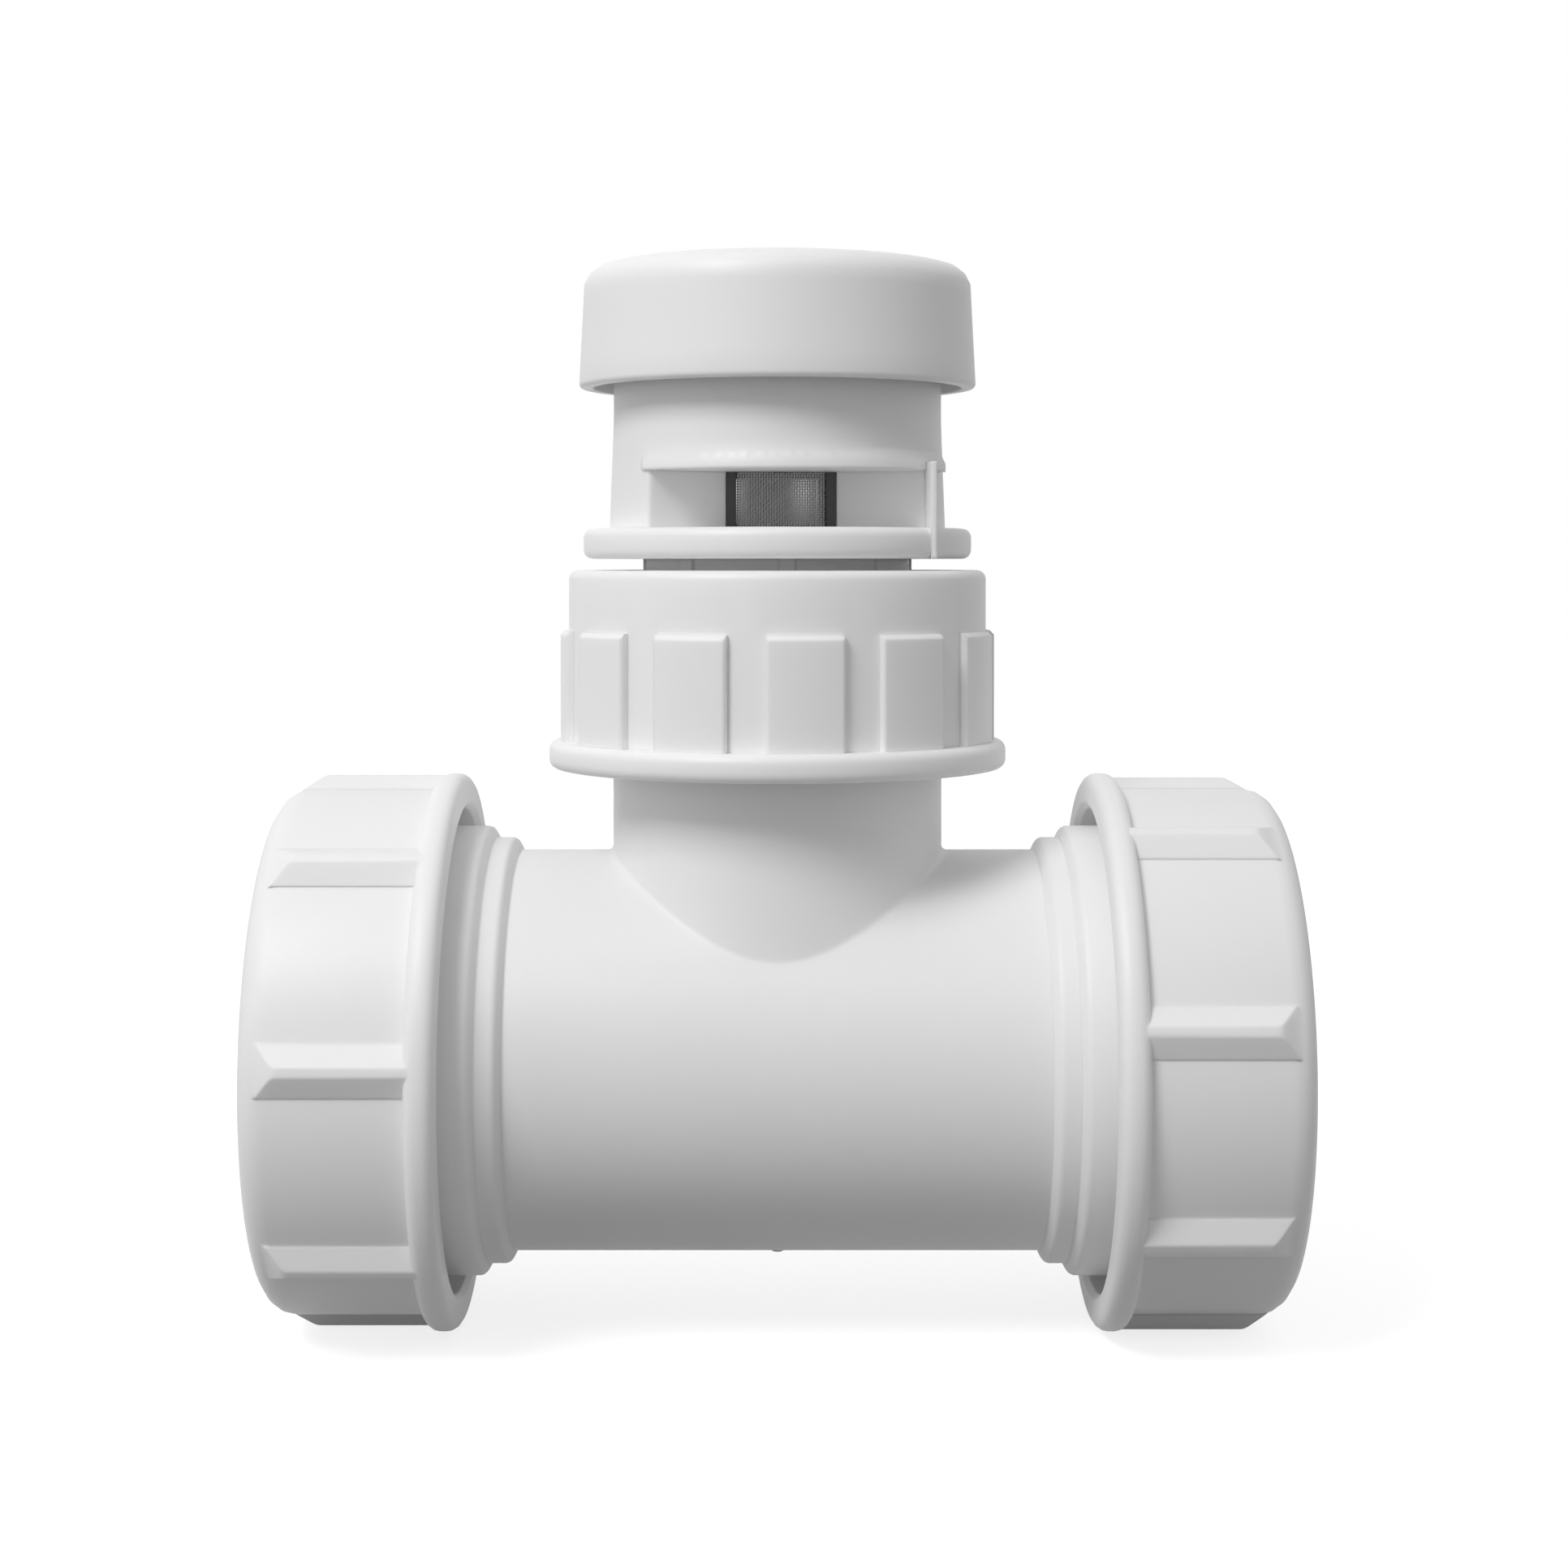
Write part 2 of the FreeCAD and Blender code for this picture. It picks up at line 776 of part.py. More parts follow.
# Insect screen
def screen_frame():
    """The dark cage in the throat: four posts between two rail frames, with room for the gauze in front."""
    half = screen_half - screen_clearance
    inner = half - screen_post
    block = box_between((-half, -half, valve_flange_top_z), (half, half, window_top_z))
    low = valve_flange_top_z + screen_rail
    high = window_top_z - screen_rail
    across = box_between((-inner, -screen_half, low), (inner, screen_half, high))
    along = box_between((-screen_half, -inner, low), (screen_half, inner, high))
    well = box_between((-inner, -inner, valve_flange_top_z), (inner, inner, window_top_z))
    rail_face = half - gauze_inset - gauze_thickness - gauze_clearance
    front_seat = box_between((-inner, -screen_half, valve_flange_top_z), (inner, -rail_face, window_top_z))
    back_seat = box_between((-inner, rail_face, valve_flange_top_z), (inner, screen_half, window_top_z))
    cage = block.cut([across, along, well, front_seat, back_seat])
    cage.rotate(origin, up, valve_turn_deg)
    return cage


def screen_gauze(side):
    """One gauze panel of the screen, with upright wires and a cross wire. Side -1 is the front."""
    half = screen_half - screen_clearance
    inner = half - screen_post
    bottom = valve_flange_top_z + gauze_clearance
    top = window_top_z - gauze_clearance
    middle_y = side * (half - gauze_inset - gauze_thickness / 2)
    back = middle_y - gauze_thickness / 2
    front = middle_y + gauze_thickness / 2
    panel = box_between((-inner, back, bottom), (inner, front, top))
    pitch_x = (2 * inner - gauze_wire) / gauze_columns
    pitch_z = (top - bottom - gauze_wire) / gauze_rows
    holes = []
    for column in range(gauze_columns):
        for row in range(gauze_rows):
            left = -inner + gauze_wire + column * pitch_x
            low = bottom + gauze_wire + row * pitch_z
            corner = (left + pitch_x - gauze_wire, front, low + pitch_z - gauze_wire)
            holes.append(box_between((left, back, low), corner))
    panel = panel.cut(holes)
    panel.rotate(origin, up, valve_turn_deg)
    return panel


# Moving parts of the valve
def diaphragm():
    """The rubber disc that closes on the seat, with a thicker rim."""
    return turned([
        (diaphragm_hole_r, seat_z),
        (diaphragm_r, seat_z),
        (diaphragm_r, diaphragm_top_z),
        (diaphragm_r - diaphragm_bead, diaphragm_top_z + diaphragm_bead),
        (diaphragm_r - diaphragm_thickness, diaphragm_top_z + diaphragm_bead),
        (diaphragm_r - diaphragm_thickness - diaphragm_bead, diaphragm_top_z),
        (diaphragm_hole_r, diaphragm_top_z),
    ])


def diaphragm_carrier():
    """The ribbed disc on top of the diaphragm, with the guide stem above and the plug below."""
    disc = turned([
        (0, diaphragm_top_z),
        (carrier_r, diaphragm_top_z),
        (carrier_r, carrier_top_z - carrier_rib_height),
        (carrier_hub_r, carrier_top_z),
        (carrier_hub_r, hub_top_z),
        (stem_r, hub_top_z),
        (stem_r, stem_top_z - stem_bevel),
        (stem_r - stem_bevel, stem_top_z),
        (0, stem_top_z),
    ])
    plug = drum(plug_r, seat_z - retainer_thickness, diaphragm_top_z + carrier_thickness / 2)
    rib = box_between(
        (0, -carrier_rib_width / 2, diaphragm_top_z + carrier_rib_root),
        (carrier_r - carrier_rib_width, carrier_rib_width / 2, carrier_top_z),
    )
    return joined([disc, plug] + round_pattern(rib, carrier_rib_count))


def riser_wing(wing_r, wing_top, root_top):
    """One flat wing, full width in the riser and drawn in below and above it."""
    lead = wing_thickness
    points = [
        (0, wing_bottom_z),
        (wing_r - lead, wing_bottom_z),
        (wing_r, wing_bottom_z + lead),
        (wing_r, wing_top),
        (retainer_r - lead, root_top),
        (0, root_top),
    ]
    corners = [Vector(x, -wing_thickness / 2, z) for x, z in points]
    face = Part.Face(Part.makePolygon(corners + corners[:1]))
    return face.extrude(Vector(0, wing_thickness, 0))


def diaphragm_retainer():
    """The snap disc under the diaphragm, with four wings that slide in the riser."""
    top = seat_z
    disc = drum(retainer_r, top - retainer_thickness, top)
    wing_r = riser_r - wing_clearance
    wing_top = seat_z - seat_flare - wing_top_gap
    wing = riser_wing(wing_r, wing_top, top - retainer_thickness / 2)
    hub = drum(plug_r + wing_thickness, wing_bottom_z + retainer_thickness, top)
    socket = drum(plug_r, top - retainer_thickness, top)
    return joined([disc, hub] + round_pattern(wing, wing_count)).cut(socket)


# Cap
def bulged(start, end, bulge):
    """Points along a shallow arc between two (radius, height) points, off the chord by the bulge."""
    first = Vector(*start, 0)
    last = Vector(*end, 0)
    chord = last - first
    outward = Vector(chord.y, -chord.x, 0).normalize()
    arc_r = (chord.Length ** 2 / 4 + bulge ** 2) / (2 * bulge)
    middle = (first + last) * 0.5 - outward * (arc_r - bulge)
    return swept(middle, first, last)


def dome(start, top_z):
    """Points along a dome from a (radius, height) point to the axis, level where it meets the axis."""
    rise = top_z - start[1]
    ball_r = (start[0] ** 2 + rise ** 2) / (2 * rise)
    return swept(Vector(0, top_z - ball_r, 0), Vector(*start, 0), Vector(0, top_z, 0))


def valve_cap():
    """The plain domed cap: skirt, rounded shoulder, snap ring, clamp land and guide tube."""
    bottom = (cap_bottom_r, cap_bottom_z)
    shoulder = (cap_shoulder_r, cap_shoulder_z)
    corner = (cap_corner_r, cap_corner_z)
    outline = [(0, cap_bottom_z), bottom, shoulder]
    outline += bulged(shoulder, corner, cap_shoulder_bulge)[1:]
    outline += dome(corner, cap_top_z)[1:]
    outside = turned(eased(outline, cap_edge_round, bottom))
    skirt_r = cap_bottom_r - cap_wall
    inner_top = cap_top_z - cap_wall - (cap_top_z - cap_corner_z) / 2
    hollow = turned([
        (0, cap_bottom_z),
        (skirt_r, cap_bottom_z),
        (cap_shoulder_r - cap_wall, cap_shoulder_z),
        (cap_corner_r - cap_wall / 2, inner_top - cap_wall / 2),
        (cap_corner_r - 2 * cap_wall, inner_top),
        (0, inner_top),
    ])
    ring_r = body_neck_r + bead_proud + snap_clearance
    ring_outer = ring_r + snap_ring_wall
    barb_r = body_neck_r + barb_clearance
    barb_top = bead_bottom_z - barb_gap
    snap = turned([
        (ring_outer, inner_top),
        (ring_outer, barb_top - barb_height),
        (ring_r, barb_top - barb_height),
        (barb_r, barb_top - barb_height / 2),
        (barb_r, barb_top),
        (ring_r, barb_top),
        (ring_r, gasket_top_z),
        (chamber_r, gasket_top_z),
        (chamber_r, inner_top),
    ])
    guide_bottom = hub_top_z + lift + guide_gap
    guide_r = stem_r + guide_clearance
    guide = tube(guide_r + guide_wall, guide_r, guide_bottom, inner_top)
    roof = drum(ring_outer, inner_top, inner_top + cap_wall / 2)
    return joined([outside.cut(hollow), snap.fuse(guide).fuse(roof.common(outside))])


def cap_seal():
    """The flat rubber gasket between the rim of the body and the cap."""
    return tube(body_neck_r, chamber_r, body_rim_z, gasket_top_z)


# Every piece with the name of its file
pieces = {
    "tee_body": tee_body(),
    "run_nut_left": run_nut(-1, rib_phase_left),
    "run_nut_right": run_nut(1, rib_phase_right),
    "run_slip_washer_left": run_slip_washer(-1),
    "run_slip_washer_right": run_slip_washer(1),
    "run_seal_left": run_seal(-1),
    "run_seal_right": run_seal(1),
    "branch_nut": branch_nut(),
    "branch_slip_washer": branch_slip_washer(),
    "branch_seal": branch_seal(),
    "valve_body": valve_body(),
    "valve_cap": valve_cap(),
    "cap_seal": cap_seal(),
    "screen_frame": screen_frame(),
    "screen_gauze_front": screen_gauze(-1),
    "screen_gauze_back": screen_gauze(1),
    "diaphragm": diaphragm(),
    "diaphragm_carrier": diaphragm_carrier(),
    "diaphragm_retainer": diaphragm_retainer(),
}

os.makedirs("parts", exist_ok=True)
for name, shape in pieces.items():
    box = shape.BoundBox
    print(name, "solids", len(shape.Solids), "valid", shape.isValid(), "volume", round(shape.Volume, 1))
    print("    from", [round(value, 2) for value in (box.XMin, box.YMin, box.ZMin)],
          "to", [round(value, 2) for value in (box.XMax, box.YMax, box.ZMax)])
    shape.exportStep("parts/" + name + ".step")
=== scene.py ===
# %% [markdown]
# An air admittance valve lets air into a waste pipe when water runs past, and keeps the smell in at
# other times. This one stands in the branch of a compression tee. The solid model of every piece is
# loaded first and stays where it is. The steps after that add what a solid model leaves out: threads,
# woven gauze, finishes and light.

# %% Load the solid model
import math

import bmesh
import bpy
from mathutils import Matrix, Vector


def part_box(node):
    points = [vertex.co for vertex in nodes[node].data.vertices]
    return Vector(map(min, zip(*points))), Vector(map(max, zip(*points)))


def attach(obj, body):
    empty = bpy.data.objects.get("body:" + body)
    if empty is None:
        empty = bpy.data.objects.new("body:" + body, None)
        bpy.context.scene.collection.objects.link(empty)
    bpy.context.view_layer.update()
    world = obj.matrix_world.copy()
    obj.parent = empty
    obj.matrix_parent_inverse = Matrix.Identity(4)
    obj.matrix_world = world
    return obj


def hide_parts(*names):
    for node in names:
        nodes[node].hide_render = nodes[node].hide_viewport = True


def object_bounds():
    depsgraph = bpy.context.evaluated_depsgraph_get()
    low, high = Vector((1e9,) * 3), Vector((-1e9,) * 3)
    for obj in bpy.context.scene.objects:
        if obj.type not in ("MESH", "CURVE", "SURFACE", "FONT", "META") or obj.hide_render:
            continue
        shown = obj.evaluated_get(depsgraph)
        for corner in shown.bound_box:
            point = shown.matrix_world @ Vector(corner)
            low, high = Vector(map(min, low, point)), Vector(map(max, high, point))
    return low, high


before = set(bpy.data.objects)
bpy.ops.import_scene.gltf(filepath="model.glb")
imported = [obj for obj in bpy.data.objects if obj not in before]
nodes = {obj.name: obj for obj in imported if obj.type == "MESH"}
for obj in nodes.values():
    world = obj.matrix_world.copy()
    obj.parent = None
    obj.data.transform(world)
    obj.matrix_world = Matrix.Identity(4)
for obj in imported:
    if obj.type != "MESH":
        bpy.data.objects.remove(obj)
cad_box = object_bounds()
print("nodes loaded:", len(nodes), "box:", [[round(v * 1000, 1) for v in corner] for corner in cad_box])

# %% [markdown]
# The loaded meshes are loose triangles, so each one would show its facets. Their points have to stay,
# but their stored normals can go and a modifier can sit on top. Weld joins the triangles where they
# meet, and Edge Split parts them again wherever the surface turns a real corner. Curved walls and the
# short steps of a rounded edge then shade as one smooth surface, and moulded corners stay crisp.

# %% Smooth shading for the loaded pieces
WELD_GAP = 1e-6
CORNER_ANGLE = math.radians(32)


def keep_corners(piece):
    """Parts smooth shading wherever the surface turns a real corner."""
    split = piece.modifiers.new("keep corners", "EDGE_SPLIT")
    split.split_angle = CORNER_ANGLE
    split.use_edge_sharp = False


for piece in nodes.values():
    own_normals = piece.data.attributes.get("custom_normal")
    if own_normals:
        piece.data.attributes.remove(own_normals)
    piece.data.shade_smooth()
    weld = piece.modifiers.new("join triangles", "WELD")
    weld.merge_threshold = WELD_GAP
    keep_corners(piece)
print("triangles:", sum(len(piece.data.polygons) for piece in nodes.values()))

# %% [markdown]
# A few helpers carry the work on materials. Colours are written as the hex values that a paint
# program shows, and one function turns them into the linear values that a renderer needs. Another
# adds a node, fills in its settings and links it, so that a material reads from top to bottom like a
# recipe. Noise scales are worked out from sizes in millimetres, because the model is in metres.

# %% Helpers for colours, sizes and nodes
MM = 0.001


def linear(hex_colour):
    """Linear RGBA from an sRGB hex value such as F2F1EE."""
    channels = [int(hex_colour[i:i + 2], 16) / 255 for i in (0, 2, 4)]
    return [c / 12.92 if c <= 0.04045 else ((c + 0.055) / 1.055) ** 2.4 for c in channels] + [1.0]


def empty_tree(owner):
    """The node tree of a material or world, with nothing in it."""
    owner.use_nodes = True
    owner.node_tree.nodes.clear()
    return owner.node_tree


def add_node(tree, kind, settings=(), links=()):
    """Adds one node. A setting or a link is (name or number of the input, value or socket)."""
    node = tree.nodes.new(kind)
    for name, value in settings:
        if isinstance(name, int) or name in node.inputs:
            node.inputs[name].default_value = value
        else:
            setattr(node, name, value)
    for name, source in links:
        tree.links.new(source, node.inputs[name])
    return node


def per_metre(size_mm):
    """Noise scale that gives features of about this size."""
    return 1.0 / (size_mm * MM)


print("white F2F2F2 is linear", [round(v, 3) for v in linear("F2F2F2")])

# %% [markdown]
# Most plastics here share one build: a colour that varies a little, a roughness that varies a little,
# and a bump with a long gentle wave from shrinkage in the mould and a fine grain from the mould's own
# surface. No moulded edge is truly sharp, so a Bevel node first bends the shading round each corner
# over a fraction of a millimetre. One function makes that, and each material gives its own real sizes
# and amounts. Working in object coordinates keeps the pattern fixed to the piece when it moves.

# %% A moulded material
def moulded(name, colours, roughness, wave_mm, wave_height_mm, grain_mm, grain_height_mm,
            edge_mm, shader):
    """A plastic or rubber with two close colours, a roughness range, a wave, a grain and soft edges."""
    material = bpy.data.materials.new(name)
    tree = empty_tree(material)
    place = add_node(tree, "ShaderNodeTexCoord").outputs["Object"]
    patches = add_node(
        tree, "ShaderNodeTexNoise",
        [("Scale", per_metre(wave_mm)), ("Detail", 2.0), ("Roughness", 0.5)],
        [("Vector", place)],
    ).outputs["Fac"]
    grain = add_node(
        tree, "ShaderNodeTexNoise",
        [("Scale", per_metre(grain_mm)), ("Detail", 3.0), ("Roughness", 0.6)],
        [("Vector", place)],
    ).outputs["Fac"]
    colour = add_node(
        tree, "ShaderNodeMix",
        [("data_type", "RGBA"), (6, linear(colours[0])), (7, linear(colours[1]))],
        [(0, patches)],
    ).outputs[2]
    shine = add_node(
        tree, "ShaderNodeMapRange",
        [("From Min", 0.3), ("From Max", 0.7), ("To Min", roughness[0]), ("To Max", roughness[1])],
        [("Value", grain)],
    ).outputs["Result"]
    soft_edge = add_node(
        tree, "ShaderNodeBevel", [("samples", 4), ("Radius", edge_mm * MM)],
    ).outputs["Normal"]
    long_wave = add_node(
        tree, "ShaderNodeBump",
        [("Strength", 1.0), ("Distance", wave_height_mm * MM)],
        [("Height", patches), ("Normal", soft_edge)],
    ).outputs["Normal"]
    surface = add_node(
        tree, "ShaderNodeBump",
        [("Strength", 1.0), ("Distance", grain_height_mm * MM)],
        [("Height", grain), ("Normal", long_wave)],
    ).outputs["Normal"]
    body = add_node(
        tree, "ShaderNodeBsdfPrincipled", list(shader.items()),
        [("Base Color", colour), ("Roughness", shine), ("Normal", surface)],
    )
    add_node(tree, "ShaderNodeOutputMaterial", links=[("Surface", body.outputs["BSDF"])])
    print("material", name, "nodes", len(tree.nodes))
    return material


def dress(material, *names):
    """Gives loaded pieces one material all over."""
    for name in names:
        mesh = nodes[name].data
        mesh.materials.clear()
        mesh.materials.append(material)
        mesh.polygons.foreach_set("material_index", [0] * len(mesh.polygons))


# %% [markdown]
# The tee, its nuts and the valve's shell are white polypropylene, injection moulded in polished
# steel. It has a satin gloss with soft highlights, and because light enters it a little before it
# comes back, shadows on it look soft. A small subsurface share does that.

# %% White polypropylene
white_polypropylene = moulded(
    "moulded white polypropylene", ("EFEFEF", "F2F2F2"), (0.42, 0.5),
    wave_mm=14, wave_height_mm=0.012, grain_mm=0.5, grain_height_mm=0.0015, edge_mm=0.45,
    shader={"IOR": 1.49, "Subsurface Weight": 0.3, "Subsurface Scale": 0.002,
            "Subsurface Radius": (1.0, 1.0, 1.0)},
)
dress(white_polypropylene, "tee_body", "run_nut_left", "run_nut_right", "branch_nut",
      "valve_body", "valve_cap")

# %% [markdown]
# Behind each nut lie a thin slip washer and a rubber seal. The washer is natural polyethylene: milky,
# waxy and duller than the shell. The seals and the cap's gasket are black rubber, pressed in a mould,
# with a dull skin.

# %% Washers and seals
natural_polyethylene = moulded(
    "natural polyethylene", ("DCDDD8", "E4E5E0"), (0.42, 0.55),
    wave_mm=9, wave_height_mm=0.01, grain_mm=0.5, grain_height_mm=0.003, edge_mm=0.2,
    shader={"IOR": 1.51, "Subsurface Weight": 0.25, "Subsurface Scale": 0.002},
)
dress(natural_polyethylene, "run_slip_washer_left", "run_slip_washer_right", "branch_slip_washer")

black_rubber = moulded(
    "moulded black rubber", ("1B1B1C", "232324"), (0.55, 0.75),
    wave_mm=6, wave_height_mm=0.02, grain_mm=0.4, grain_height_mm=0.01, edge_mm=0.2,
    shader={"IOR": 1.52},
)
dress(black_rubber, "run_seal_left", "run_seal_right", "branch_seal", "cap_seal")

# %% [markdown]
# The moving poppet is a silicone disc on an acetal carrier. Silicone is smooth and slightly sticky
# looking, and acetal is a dense cream-white plastic with a dry, slippery sheen. The cage of the
# insect screen is dark grey.

# %% Poppet and screen cage
silicone = moulded(
    "moulded silicone", ("2A2A2C", "303033"), (0.4, 0.5),
    wave_mm=7, wave_height_mm=0.01, grain_mm=0.6, grain_height_mm=0.002, edge_mm=0.2,
    shader={"IOR": 1.43},
)
dress(silicone, "diaphragm")

acetal = moulded(
    "moulded acetal", ("E3E1D8", "EAE8E0"), (0.32, 0.42),
    wave_mm=8, wave_height_mm=0.01, grain_mm=0.5, grain_height_mm=0.002, edge_mm=0.2,
    shader={"IOR": 1.48, "Subsurface Weight": 0.1, "Subsurface Scale": 0.001},
)
dress(acetal, "diaphragm_carrier", "diaphragm_retainer")

dark_polymer = moulded(
    "dark grey moulded polymer", ("3A3A3B", "424243"), (0.45, 0.6),
    wave_mm=5, wave_height_mm=0.01, grain_mm=0.4, grain_height_mm=0.004, edge_mm=0.1,
    shader={"IOR": 1.49},
)
dress(dark_polymer, "screen_frame")

# %% [markdown]
# Every new piece is shaped as a bmesh, turned into a mesh and linked into the scene. Two helpers do
# the last two steps, so that the cells below hold only what shapes a piece.

# %% Helpers for new pieces
def finished_mesh(bm, name):
    """Turns a bmesh into a mesh and frees it."""
    mesh = bpy.data.meshes.new(name)
    bm.to_mesh(mesh)
    bm.free()
    return mesh


def add_object(name, data):
    """Links a new object for a mesh, camera or lamp into the scene."""
    thing = bpy.data.objects.new(name, data)
    bpy.context.scene.collection.objects.link(thing)
    return thing


# %% [markdown]
# The insect screen is a fine nylon gauze, woven from round threads that pass over and under each
# other. A flat picture of a weave would lose its depth from the side, so real threads are made. A
# small five-sided ring is extruded step by step and swayed at each step, which gives one wavy thread.
# The threads lie 0.3 mm apart and the upright ones are thicker, so from the front the weave shows as
# fine upright lines.

# %% One wavy thread of the gauze
nylon_gauze = moulded(
    "woven grey nylon", ("B2B2B3", "BCBCBD"), (0.65, 0.8),
    wave_mm=2, wave_height_mm=0.002, grain_mm=0.2, grain_height_mm=0.001, edge_mm=0.02,
    shader={"IOR": 1.53, "Specular IOR Level": 0.25},
)
THREAD_PITCH = 0.3
THREAD_SIDES = 5
WEAVE_HEIGHT = 0.08


def wavy_thread(name, length, thread_r):
    """A thread along Z, centred on the origin, that sways in Y over every two pitches. Sizes in mm."""
    steps = 2 * round(length / THREAD_PITCH)
    bm = bmesh.new()
    ring = bmesh.ops.create_circle(bm, segments=THREAD_SIDES, radius=thread_r * MM, cap_ends=False)
    bmesh.ops.translate(bm, verts=ring["verts"], vec=(0, WEAVE_HEIGHT * MM, -length / 2 * MM))
    edges = bm.edges[:]
    for number in range(1, steps + 1):
        grown = bmesh.ops.extrude_edge_only(bm, edges=edges)["geom"]
        verts = [g for g in grown if isinstance(g, bmesh.types.BMVert)]
        edges = [g for g in grown if isinstance(g, bmesh.types.BMEdge)]
        sway = (math.cos(math.pi * number / 2) - math.cos(math.pi * (number - 1) / 2)) * WEAVE_HEIGHT
        bmesh.ops.translate(bm, verts=verts, vec=(0, sway * MM, length / steps * MM))
    open_ends = [edge for edge in bm.edges if edge.is_boundary]
    bmesh.ops.holes_fill(bm, edges=open_ends, sides=THREAD_SIDES)
    bmesh.ops.recalc_face_normals(bm, faces=bm.faces[:])
    thread = finished_mesh(bm, name)
    print(name, "steps", steps, "faces", len(thread.polygons))
    return thread


# %% [markdown]
# One thread is laid many times side by side, first upright and then across. Every other copy has its
# wave turned over, so that it passes over where its neighbour passes under. The upright threads begin
# with the opposite wave to the threads across, and the two sets lock into a weave.

# %% Laying threads side by side
def lay_threads(bm, thread, turn, towards, span, first_wave):
    """Lays copies of a thread over a span in mm. first_wave is 1, or -1 to turn the first one over."""
    count = int(span / THREAD_PITCH) + 1
    for number in range(count):
        start = len(bm.verts)
        bm.from_mesh(thread)
        bm.verts.ensure_lookup_table()
        laid = bm.verts[start:]
        wave = first_wave if number % 2 == 0 else -first_wave
        place = (number - (count - 1) / 2) * THREAD_PITCH * MM
        bmesh.ops.scale(bm, verts=laid, vec=(1, wave, 1))
        bmesh.ops.transform(bm, verts=laid, matrix=turn)
        bmesh.ops.translate(bm, verts=laid, vec=Vector(towards) * place)
    bpy.data.meshes.remove(thread)
    print("threads laid:", count)


# %% [markdown]
# Each panel is as wide and as high as the plain panel that it replaces. The whole valve stands turned
# a little in its branch, so the panels turn with it.

# %% Woven gauze panels
PANEL_HALF_WIDTH = 5.02
UPRIGHT_R = 0.12
ACROSS_R = 0.07
VALVE_TURN = math.radians(4)


def gauze_panel(name, node):
    """A woven panel that stands where a loaded panel is."""
    low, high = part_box(node)
    height = (high.z - low.z) / MM
    width = 2 * PANEL_HALF_WIDTH
    stand = Matrix.Identity(4)
    lie_down = Matrix.Rotation(math.pi / 2, 4, "Y")
    bm = bmesh.new()
    upright = wavy_thread(name + " upright", height, UPRIGHT_R)
    lay_threads(bm, upright, stand, (1, 0, 0), width - 2 * UPRIGHT_R, first_wave=-1)
    across = wavy_thread(name + " across", width, ACROSS_R)
    lay_threads(bm, across, lie_down, (0, 0, 1), height - 2 * ACROSS_R, first_wave=1)
    turn = Matrix.Rotation(VALVE_TURN, 3, "Z")
    bmesh.ops.rotate(bm, verts=bm.verts, cent=(0, 0, 0), matrix=turn)
    bmesh.ops.translate(bm, verts=bm.verts, vec=(low + high) / 2)
    bmesh.ops.recalc_face_normals(bm, faces=bm.faces[:])
    mesh = finished_mesh(bm, name)
    mesh.shade_smooth()
    mesh.materials.append(nylon_gauze)
    panel = add_object(name, mesh)
    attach(panel, "fitting")
    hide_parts(node)
    print(name, "faces", len(mesh.polygons))


gauze_panel("woven_gauze_front", "screen_gauze_front")
gauze_panel("woven_gauze_back", "screen_gauze_back")

# %% [markdown]
# The ends of a moulded thread sink into the wall. So before the ridges themselves comes a helper that
# lowers a wound ridge over its first and last part of a turn. Its foot starts a little inside the
# wall, so that no gap shows between the two.

# %% Sinking the ends of a thread
STEPS_PER_TURN = 96
RUN_OUT_TURNS = 0.12
END_SHARE = 0.05
SUNK = 0.15


def sink_ends(rings, foot_r, outward):
    """Lowers the rings of points near both ends of a ridge towards its foot. Sizes in mm."""
    last_number = len(rings) - 1
    for number, ring in enumerate(rings):
        share = min(number, last_number - number) / (RUN_OUT_TURNS * STEPS_PER_TURN)
        if share >= 1:
            continue
        for vert in ring:
            radius = vert.co.xy.length
            above = (radius / MM - foot_r) * outward
            if above > SUNK / 2:
                kept = foot_r + outward * above * (END_SHARE + (1 - END_SHARE) * share)
                vert.co.xy = vert.co.xy * (kept * MM / radius)


print("each end sinks over", round(RUN_OUT_TURNS * STEPS_PER_TURN), "steps")

# %% [markdown]
# A coarse plastic thread is one ridge wound round a wall. It could be cut with a boolean, but
# extruding the ridge's section and turning and raising it at every step makes it in one go. The
# section also stays behind inside the ridge at each step, where it doesn't show in the outline. Both
# the tee and its nuts have right-handed threads, so one function builds the ridges of both.

